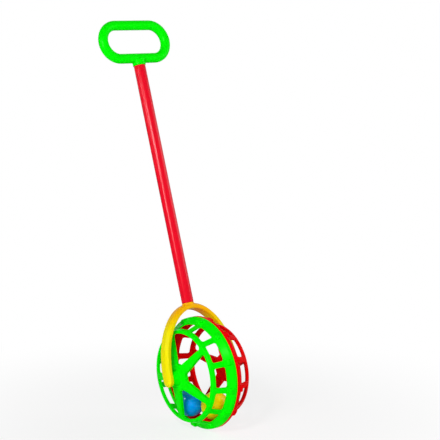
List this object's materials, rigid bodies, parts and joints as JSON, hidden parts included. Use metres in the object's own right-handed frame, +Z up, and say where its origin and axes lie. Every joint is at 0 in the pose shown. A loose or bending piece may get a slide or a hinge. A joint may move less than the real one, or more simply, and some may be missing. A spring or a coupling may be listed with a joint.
{
  "type": "toddler push toy",
  "caption": "Push toy: a rounded hand loop on a long tube, and an arched fork that carries an openwork cage wheel with loose balls rolling inside.",
  "frame": {"origin": "the point straight under the axle where the wheel's tread meets the floor, on the wheel's middle plane", "axes": "+Z up; +X along the axle, towards the red half of the wheel; +Y level, the way the handle leans"},
  "size_m": [0.1256, 0.2463, 0.5582],
  "materials": {
    "green_plastic": "smooth moulded gloss",
    "red_plastic": "smooth moulded gloss",
    "tube_red_plastic": "smooth extruded gloss",
    "amber_plastic": "smooth moulded gloss",
    "blue_plastic": "polished gloss",
    "yellow_plastic": "polished gloss"
  },
  "bodies": {
    "handle": {"grip_loop": "green_plastic", "push_tube": "tube_red_plastic", "fork": "amber_plastic"},
    "wheel": {"wheel_half_left": "green_plastic", "wheel_half_right": "red_plastic"},
    "blue_ball": {"ball_blue": "blue_plastic"},
    "yellow_ball": {"ball_yellow": "yellow_plastic"}
  },
  "joints": [
    {"name": "wheel_spin", "type": "hinge", "parent": "handle", "child": "wheel", "pos_m": [0, 0, 0.07828], "axis": [1, 0, 0], "continuous": true},
    {"name": "blue_ball_roll", "type": "hinge", "parent": "handle", "child": "blue_ball", "pos_m": [0, 0, 0.07828], "axis": [1, 0, 0], "continuous": true},
    {"name": "yellow_ball_roll", "type": "hinge", "parent": "blue_ball", "child": "yellow_ball", "pos_m": [0, 0, 0.07828], "axis": [1, 0, 0], "range_deg": [-269, 0]}
  ]
}
